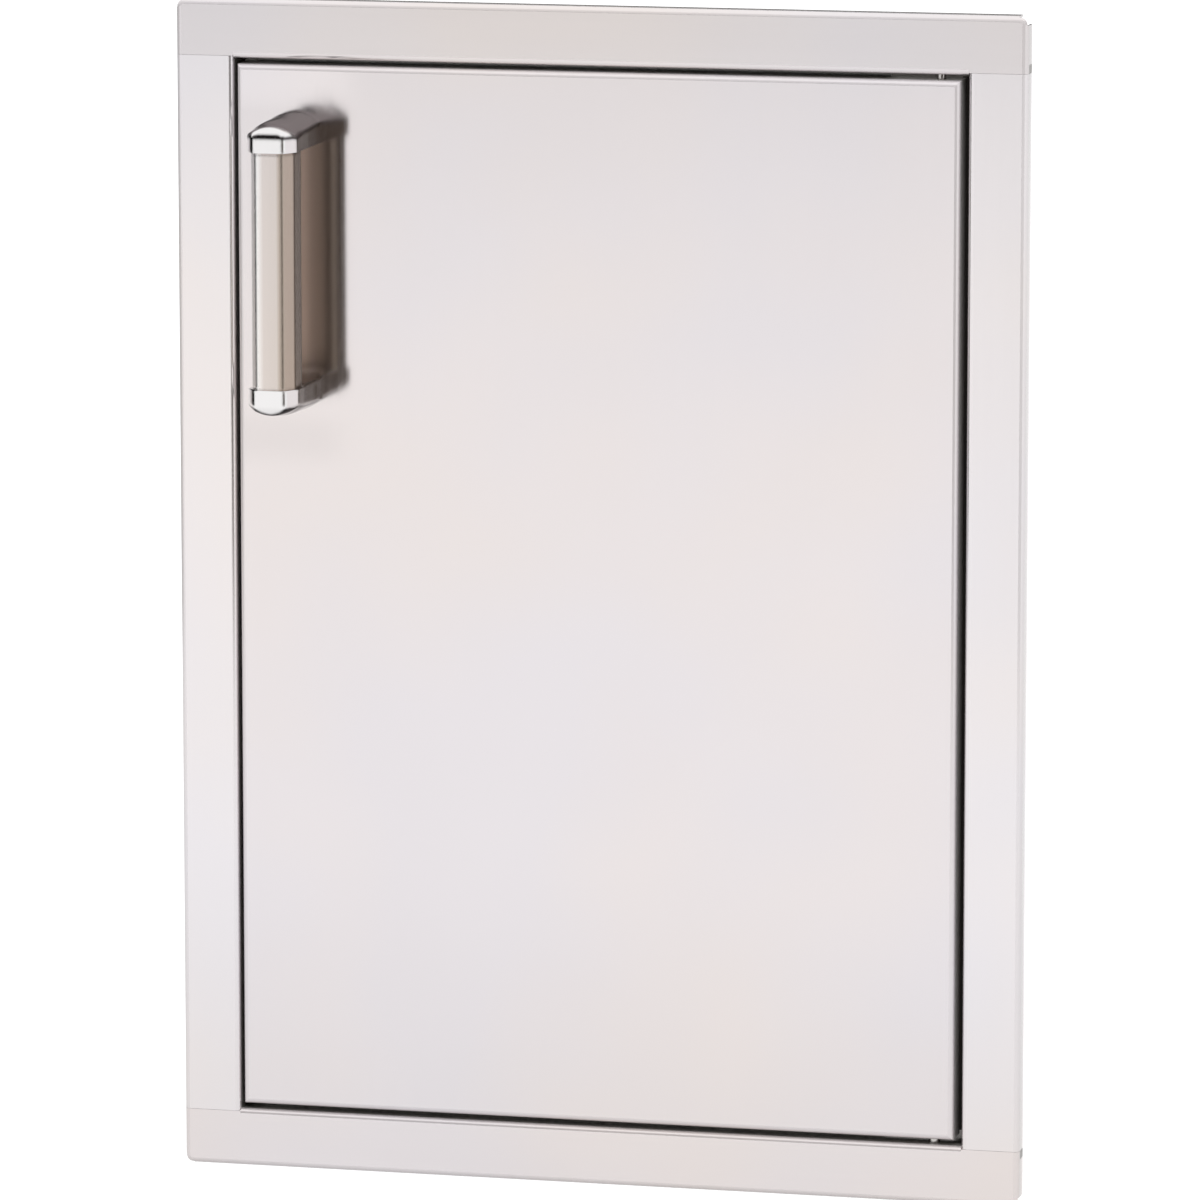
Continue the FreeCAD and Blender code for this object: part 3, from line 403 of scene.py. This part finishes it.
grip_left, grip_right = (corner.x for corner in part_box("handle_grip"))
grip_steel = brushed_stainless("brushed stainless grip",
                               front=("X", grip_left, grip_right, GRIP_FRONT_PAINTED_LIGHT),
                               back=("X", grip_left, grip_right, GRIP_BACK_PAINTED_SHADE),
                               along="z", smear="X", roughness=0.18, anisotropy=0.8,
                               deep={"depth": GRIP_BACK_DEPTH}, contrast=0.03,
                               edge=GRIP_EDGE_ROUND)
print("grip is", round(grip_right - grip_left, 4), "m wide")

# %% [markdown]
# The hidden sheet is the same steel as it left the mill: no scratches, a dull even sheen with
# wide soft patches. Turned pins are brighter, with finer marks from the tool, and zinc plate is
# bluish. One plain recipe serves all of them, because only the colour, the roughness and the
# size of its patches differ.

# %% Plain metals


def patchy_gloss(tree, place, patch, roughness, spread):
    """A roughness that drifts by spread, over patches of a size."""
    patches = add(tree, "TexNoise", {"Scale": 1 / patch, "Detail": 3.0}, {"Vector": place})
    return add(tree, "MapRange", {"From Min": NOISE_LOW, "From Max": NOISE_HIGH,
                                  "To Min": roughness - spread, "To Max": roughness + spread},
               {"Value": patches.outputs["Fac"]}).outputs["Result"]


def plain_metal(name, code, roughness, patch, spread):
    """A metal with no grain, whose roughness drifts by spread over patches of that size."""
    material, tree = new_material(name)
    place = add(tree, "TexCoord").outputs["Object"]
    metal = add(tree, "BsdfPrincipled", {"Metallic": 1.0, "Base Color": linear(code)},
                {"Roughness": patchy_gloss(tree, place, patch, roughness, spread)})
    add(tree, "OutputMaterial", None, {"Surface": metal.outputs["BSDF"]})
    return material


mill_steel = plain_metal("mill finish stainless", "#CFCDCB",
                         roughness=0.34, patch=45 * MM, spread=0.02)
turned_steel = plain_metal("turned stainless", "#D2CFCC",
                           roughness=0.22, patch=2 * MM, spread=0.05)
zinc = plain_metal("bright zinc plate", "#C9CCD2",
                   roughness=0.28, patch=3 * MM, spread=0.06)
print("plain metals:", [metal.name for metal in (mill_steel, turned_steel, zinc)])

# %% [markdown]
# The handle's ends are cast, ground, and polished on a wheel before they are chromed. The wheel
# takes the edges off by a couple of millimetres, and it is in those rounds that chrome shows the
# dark half of the room as a line. The casting has small fillets already, and the Bevel node
# widens them in the shading, which blends them into each other more softly than cut fillets
# would. Two edges stay crisp: the one that is milled flat to meet the grip, and the foot on the
# door. Near the first the rounded normal is kept level, and near the second it isn't used.

# %% Rounds of the casting
WHEEL_ROUND = 3.8 * MM
FOOT = 3 * MM
LEVEL_BAND = 4.5 * MM


def polished_rounds(tree, place):
    """The normal with its edges rounded by the wheel, and how far it turns aside and up."""
    low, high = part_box("handle_grip")
    middle = (low.z + high.z) / 2
    reach = (high.z - low.z) / 2 + LEVEL_BAND
    parts = add(tree, "SeparateXYZ", None, {"Vector": place})
    foot = add(tree, "Math", {1: FACE_Y - FOOT}, {0: parts.outputs["Y"]}, operation="GREATER_THAN")
    height = add(tree, "Math", {1: middle}, {0: parts.outputs["Z"]}, operation="SUBTRACT")
    away = add(tree, "Math", None, {0: height.outputs["Value"]}, operation="ABSOLUTE")
    crown = add(tree, "Math", {1: reach}, {0: away.outputs["Value"]}, operation="GREATER_THAN")
    rounded = add(tree, "Bevel", {"Radius": WHEEL_ROUND}, samples=8)
    sides = add(tree, "SeparateXYZ", None, {"Vector": rounded.outputs["Normal"]})
    rise = add(tree, "Math", None, {0: sides.outputs["Z"], 1: crown.outputs["Value"]},
               operation="MULTIPLY")
    level = add(tree, "CombineXYZ", None, {"X": sides.outputs["X"], "Y": sides.outputs["Y"],
                                           "Z": rise.outputs["Value"]})
    flat = add(tree, "NewGeometry")
    normal = add(tree, "Mix", None, {"Factor": foot.outputs["Value"],
                                     "A": level.outputs["Vector"],
                                     "B": flat.outputs["Normal"]}, data_type="VECTOR")
    return normal.outputs["Result"], sides.outputs["X"], rise.outputs["Value"]


print("the wheel's rounds have a radius of", WHEEL_ROUND, "m")

# %% [markdown]
# The dark lines on the casting's underside and on the round over the flat are painted shade: there
# the chrome's colour is darkened to stand in for the shade that it would mirror. A painted mask
# would need an unwrapped mesh. The rounded normal tells the same places by how far they face up
# or down, and where a point faces sideways as well, it counts as steeper.

# %% Where shade is painted on the chrome
SIDE_WEIGHT = 2.0
UNDERSIDE = (-0.58, -0.78)
BROW_START = (0.01, 0.05)
BROW_END = (0.52, 0.46)


def painted_shade_mask(tree, aside, rise):
    """1 where shade is painted: on the underside and on the brow, 0 on the rest of a casting."""
    turned = add(tree, "Math", None, {0: aside}, operation="ABSOLUTE")
    weight = add(tree, "Math", {1: SIDE_WEIGHT, 2: 1.0}, {0: turned.outputs["Value"]},
                 operation="MULTIPLY_ADD")
    steep = add(tree, "Math", None, {0: rise, 1: weight.outputs["Value"]}, operation="MULTIPLY")
    under, above, short_of = [
        add(tree, "MapRange", {"From Min": none, "From Max": full},
            {"Value": steep.outputs["Value"]}).outputs["Result"]
        for none, full in (UNDERSIDE, BROW_START, BROW_END)]
    brow = add(tree, "Math", None, {0: above, 1: short_of}, operation="MULTIPLY")
    return add(tree, "Math", None, {0: under, 1: brow.outputs["Value"]},
               operation="MAXIMUM").outputs["Value"]


print("the brow is between", BROW_START[0], "and", BROW_END[0])

# %% [markdown]
# Chrome itself is nearly a mirror, a little blue beside the steel. Wiping leaves hairlines and a
# faint film, too fine to show as lines, so they only vary the roughness over small patches.

# %% Chrome plate
FILM = 6 * MM
# The colour of the painted shade on the chrome's underside and brow.
PAINTED_SHADE_TINT = "#2A2526"


def chromed(name, code, roughness, spread):
    """Polished plate in its own colour, darkened as painted shade on its underside and brow."""
    material, tree = new_material(name)
    place = add(tree, "TexCoord").outputs["Object"]
    normal, aside, rise = polished_rounds(tree, place)
    # Painted shade: the plate's colour is darkened where it faces down, and on the round over the
    # flat.
    tint = add(tree, "Mix", {"A": linear(code), "B": linear(PAINTED_SHADE_TINT)},
               {"Factor": painted_shade_mask(tree, aside, rise)}, data_type="RGBA")
    plate = add(tree, "BsdfPrincipled", {"Metallic": 1.0},
                {"Base Color": tint.outputs["Result"], "Normal": normal,
                 "Roughness": patchy_gloss(tree, place, FILM, roughness, spread)})
    add(tree, "OutputMaterial", None, {"Surface": plate.outputs["BSDF"]})
    return material


chrome = chromed("chrome plate", "#F2F0F0", roughness=0.05, spread=0.02)
print("chrome is made of", len(chrome.node_tree.nodes), "nodes")

# %% [markdown]
# The small mouldings are nylon and ABS, and the magnets are sintered ferrite. A moulded surface
# takes the fine texture of its mould, a fraction of a millimetre wide, and it has no metal in it,
# so these pieces look even and soft beside the steel. Real displacement would need millions of
# faces, so a low bump gives the texture.

# %% Mouldings
GRAIN_DEPTH = 0.05 * MM


def moulding(name, code, roughness, grain, ior):
    """A matt moulded or pressed piece with a fine grain."""
    material, tree = new_material(name)
    place = add(tree, "TexCoord").outputs["Object"]
    skin = add(tree, "TexNoise", {"Scale": 1 / grain, "Detail": 2.0}, {"Vector": place})
    relief = add(tree, "Bump", {"Strength": 0.25, "Distance": GRAIN_DEPTH},
                 {"Height": skin.outputs["Fac"]})
    tone = add(tree, "MapRange", {"To Min": 0.95, "To Max": 1.05}, {"Value": skin.outputs["Fac"]})
    colour = add(tree, "VectorMath", {0: linear(code)[:3]}, {"Scale": tone.outputs["Result"]},
                 operation="SCALE")
    body = add(tree, "BsdfPrincipled", {"Roughness": roughness, "IOR": ior},
               {"Base Color": colour.outputs["Vector"], "Normal": relief.outputs["Normal"]})
    add(tree, "OutputMaterial", None, {"Surface": body.outputs["BSDF"]})
    return material


nylon = moulding("white nylon", "#E4E2DC", roughness=0.42, grain=0.3 * MM, ior=1.53)
grey_abs = moulding("grey moulded ABS", "#6E6E70", roughness=0.45, grain=0.4 * MM, ior=1.54)
ferrite = moulding("sintered ferrite", "#2B2B2D", roughness=0.6, grain=0.2 * MM, ior=2.0)
print("mouldings:", [body.name for body in (nylon, grey_abs, ferrite)])

# %% [markdown]
# A carried-over piece keeps its mesh and gets its finish in its material slot. That could be a
# line for each piece, but one table shows at a glance which finish goes on what, and the loop
# tells if a piece is left out.

# %% Dress the pieces
FINISHES = [
    (door_steel, ["door_outer_skin"]),
    (stile_steel, ["frame_hinge_stile", "frame_latch_stile"]),
    (top_steel, ["frame_top_rail"]),
    (foot_steel, ["frame_bottom_rail"]),
    (grip_steel, ["handle_grip"]),
    (mill_steel, ["door_liner", "door_stiffeners", "corner_splice_plates", "latch_stop_strip",
                  "top_stop_strip", "bottom_stop_strip", "upper_pivot_plate",
                  "lower_pivot_plate", "handle_backing_plate", "lower_hinge_plate",
                  "pin_guide_bracket"]),
    (chrome, ["upper_handle_end", "lower_handle_end"]),
    (turned_steel, ["lower_pivot_pin", "upper_pivot_pin", "pin_clip", "pin_lever", "pin_spring"]),
    (zinc, ["catch_screws", "catch_pole_plates", "strike_plates", "strike_rivets",
            "handle_washers", "handle_screws"]),
    (nylon, ["door_bumpers", "upper_pivot_bushing", "lower_pivot_bushing",
             "upper_door_bushing"]),
    (grey_abs, ["catch_housings", "liner_hole_plugs"]),
    (ferrite, ["catch_magnets"]),
]

bare = set(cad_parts)
for finish, names in FINISHES:
    for name in names:
        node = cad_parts[name]
        node.data.materials.clear()
        node.data.materials.append(finish)
        bare.discard(name)
print("pieces without a finish:", sorted(bare))

# %% [markdown]
# The portrait is taken from the right and a little above, with a long lens, which keeps the
# frame's sides nearly parallel. The lens, the place and the two angles come from fitting a camera
# to the corners of the frame in the photograph, which is surer than turning it by eye.

# %% Camera
import math

CAMERA_AT = (1.024, -4.357, 0.747)
CAMERA_YAW = math.radians(13.24)
CAMERA_PITCH = math.radians(9.48)
LENS_MM = 250.1
SENSOR_MM = 36
FAR_END = 100

camera = bpy.data.objects.new("camera", bpy.data.cameras.new("camera"))
bpy.context.scene.collection.objects.link(camera)
camera.location = CAMERA_AT
camera.rotation_euler = (math.pi / 2 - CAMERA_PITCH, 0, CAMERA_YAW)
camera.data.lens = LENS_MM
camera.data.sensor_width = SENSOR_MM
camera.data.clip_end = FAR_END
bpy.context.scene.camera = camera
print("camera", [round(v, 3) for v in camera.location], "lens", camera.data.lens)

# %% [markdown]
# Polished and brushed metal has hardly any colour of its own: it shows what stands around it.
# So the room is the most important part of a portrait of steel. A panorama of a real studio
# would do, but it is a picture, and nothing in it can be moved. This room is plain white, which
# gives the pale faces. A ray that comes by way of a mirror sees the same white as the camera
# does, and matt pieces are lit a little less, so that they keep their shading.

# %% The white room
ROOM_LIGHT = 0.75


def seen_directly(tree):
    """1 for a ray from the camera, or by way of a reflection or a clear piece."""
    path = add(tree, "LightPath")
    mirror = add(tree, "Math", None, {0: path.outputs["Is Camera Ray"],
                                      1: path.outputs["Is Glossy Ray"]}, operation="MAXIMUM")
    return add(tree, "Math", None, {0: mirror.outputs["Value"],
                                    1: path.outputs["Is Transmission Ray"]},
               operation="MAXIMUM").outputs["Value"]


world = bpy.data.worlds.new("white room")
bpy.context.scene.world = world
world.use_nodes = True
tree = world.node_tree
tree.nodes.clear()
light = add(tree, "Background", {"Color": linear("#FFFFFF"), "Strength": ROOM_LIGHT})
white = add(tree, "Background", {"Color": linear("#FFFFFF"), "Strength": 1.0})
room = add(tree, "MixShader", None,
           {0: seen_directly(tree), 1: light.outputs[0], 2: white.outputs[0]})
add(tree, "OutputWorld", None, {"Surface": room.outputs["Shader"]})
print("room light", ROOM_LIGHT)

# %% [markdown]
# The floor and the cards of the set are bare sheets.

# %% Sheets of the set


def sheet(name, corners, faces):
    """A new object with a mesh of its own."""
    mesh = bpy.data.meshes.new(name)
    mesh.from_pydata(corners, [], faces)
    thing = bpy.data.objects.new(name, mesh)
    bpy.context.scene.collection.objects.link(thing)
    return thing


FLOOR_Z = cad_box[0].z
FLOOR_HALF = 14.0

floor = sheet("floor", [(x * FLOOR_HALF, y * FLOOR_HALF, FLOOR_Z)
                        for x, y in ((-1, -1), (1, -1), (1, 1), (-1, 1))], [(0, 1, 2, 3)])
print("floor at", round(FLOOR_Z, 4))

# %% [markdown]
# The floor is pale and matt. It takes the object's shadow from the lamp, and for the camera it
# glows just enough on top of that to join the white of the room without an edge. A mirror sees
# a painted pool of light on it: white before the object, with painted shade right at its foot and
# far out. The tall faces are a little dimmer at their foot and at their top for that.

# %% The floor's paint
FLOOR_GREY = "#C8C8C8"
FLOOR_GLOW = 0.78
# Painted light and painted shade on the floor, as mirrors see it.
PAINTED_LIGHT_POOL = [(0.0, "#F2F2F2"), (0.12, "#FFFFFF"), (0.45, "#FFFFFF"), (0.72, "#FBFBFB"),
        (0.9, "#F0F0F0")]
POOL_HALF = 7.0

floor_paint, tree = new_material("white floor")
matt = add(tree, "BsdfDiffuse", {"Color": linear(FLOOR_GREY)})
glow = add(tree, "Emission", {"Color": linear("#FFFFFF"), "Strength": FLOOR_GLOW})
shaded = add(tree, "AddShader", None, {0: matt.outputs[0], 1: glow.outputs[0]})
lit = add(tree, "Emission", {"Strength": 1.0})
both_ways = add(tree, "VectorMath", None, {0: add(tree, "TexCoord").outputs["Object"]},
                operation="ABSOLUTE")
fill(tree, lit.inputs["Color"], ("Y", 0.0, POOL_HALF, PAINTED_LIGHT_POOL), both_ways.outputs["Vector"])
path = add(tree, "LightPath")
for_camera = add(tree, "MixShader", None, {0: path.outputs["Is Camera Ray"],
                                           1: matt.outputs[0], 2: shaded.outputs[0]})
surface = add(tree, "MixShader", None, {0: path.outputs["Is Glossy Ray"],
                                        1: for_camera.outputs[0], 2: lit.outputs[0]})
add(tree, "OutputMaterial", None, {"Surface": surface.outputs[0]})
floor.data.materials.append(floor_paint)
print("floor glows", FLOOR_GLOW, "for the camera")

# %% [markdown]
# In an all-white room chrome is white too, and has no edges. A photographer stands dark cards
# round the set for that. Here each card is part of an upright drum. It glows weakly, so that its
# shade is just the shade that is asked for, and only reflections see it.

# %% A card
SEGMENT = math.radians(5)


def card(name, code, start, end, distance, low, high):
    """A curved card; start and end are in degrees from straight in front, to the right."""
    first, last = math.radians(start), math.radians(end)
    steps = max(1, round((last - first) / SEGMENT))
    turns = [first + (last - first) * i / steps for i in range(steps + 1)]
    points = [(distance * math.sin(turn), -distance * math.cos(turn), z)
              for turn in turns for z in (low, high)]
    panel = sheet(name, points, [(2 * i, 2 * i + 2, 2 * i + 3, 2 * i + 1) for i in range(steps)])
    panel.visible_camera = False
    panel.visible_diffuse = False
    panel.visible_shadow = False
    panel.visible_transmission = False
    paint, tree = new_material(name)
    shade = add(tree, "Emission", {"Color": linear(code), "Strength": 1.0})
    add(tree, "OutputMaterial", None, {"Surface": shade.outputs[0]})
    panel.data.materials.append(paint)


print("a card is made of pieces of", round(math.degrees(SEGMENT)), "degrees")

# %% [markdown]
# Six cards are enough, and leaving one out shows what it does. The front card greys the crown of
# the handle's upper end and the bend under the door. The near-black one below it darkens the
# crown's rim and draws the line along the top rail's bend. The front right card shades the crown
# where it rolls to the right. The camera card darkens the right side of the handle, and the left
# card its left edge and the jamb at the hinges. The back card greys the very top of the frame.

# %% The six cards
CARDS = [  # name, shade, start and end in degrees, distance, lower and upper edge in metres
    ("front card", "#8A8585", -75, 10, 3.2, 0.78, 3.0),
    ("front low card", "#141111", -75, 10, 3.2, 0.31, 0.78),
    ("front right card", "#575152", 10, 84, 3.2, 0.25, 3.0),
    ("camera card", "#453C35", 4, 50, 1.75, FLOOR_Z, 0.32),
    ("left card", "#050505", -185, -60, 2.0, FLOOR_Z, 0.6),
    ("back card", "#8C8A8A", 120, 240, 3.0, 0.36, 1.0),
]

for settings in CARDS:
    card(*settings)
print("cards", [settings[0] for settings in CARDS])

# %% [markdown]
# At the hinge side nothing stands behind the gap, so the white room would show through it as a
# bright slit. The photograph has a black line there: it is dark inside an island. A narrow dark
# card behind the gap stands for that, which is far simpler than the island itself. It only shows
# from the front, so that the back of the part stays free.

# %% Gap card
GAP_CARD_WIDE = 8 * MM
GAP_CARD_BACK = 8 * MM
JAMB_CLEARANCE = 0.1 * MM

card_y = door_back + GAP_CARD_BACK
card_right = half_open_x - JAMB_CLEARANCE
card_left = card_right - GAP_CARD_WIDE
card_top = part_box("door_outer_skin")[1].z
gap_card = sheet("gap card", [(card_left, card_y, -card_top), (card_right, card_y, -card_top),
                              (card_right, card_y, card_top), (card_left, card_y, card_top)],
                 [(0, 1, 2, 3)])
gap_card.visible_diffuse = False
gap_card.visible_shadow = False
gap_paint, tree = new_material("gap card")
shade = add(tree, "Emission", {"Color": linear("#161413"), "Strength": 1.0})
behind = add(tree, "BsdfTransparent")
side = add(tree, "NewGeometry")
one_sided = add(tree, "MixShader", None, {0: side.outputs["Backfacing"],
                                          1: shade.outputs[0], 2: behind.outputs[0]})
add(tree, "OutputMaterial", None, {"Surface": one_sided.outputs[0]})
gap_card.data.materials.append(gap_paint)
print("gap card from", round(card_left, 4), "to", round(card_right, 4), "at", round(card_y, 4))

# %% [markdown]
# One broad soft lamp gives the floor its shadow and the nylon its shape. A sun would draw a hard
# shadow. The lamp stands on the camera's side, so that the shadow falls behind the door, and it is
# hidden from mirrors, so that no bright square shows in the steel.

# %% Lamp
from mathutils import Vector

LAMP_AT = Vector((0.6, -2.4, 2.6))
LAMP_SIZE = 1.6
LAMP_WATTS = 45

lamp = bpy.data.objects.new("soft lamp", bpy.data.lights.new("soft lamp", "AREA"))
bpy.context.scene.collection.objects.link(lamp)
lamp.data.size = LAMP_SIZE
lamp.data.energy = LAMP_WATTS
lamp.location = LAMP_AT
lamp.rotation_euler = (-LAMP_AT).to_track_quat("-Z", "Y").to_euler()
lamp.visible_glossy = False
print("lamp power", lamp.data.energy)

# %% [markdown]
# The Standard view shows a colour as it is written.

bpy.context.scene.view_settings.view_transform = "Standard"
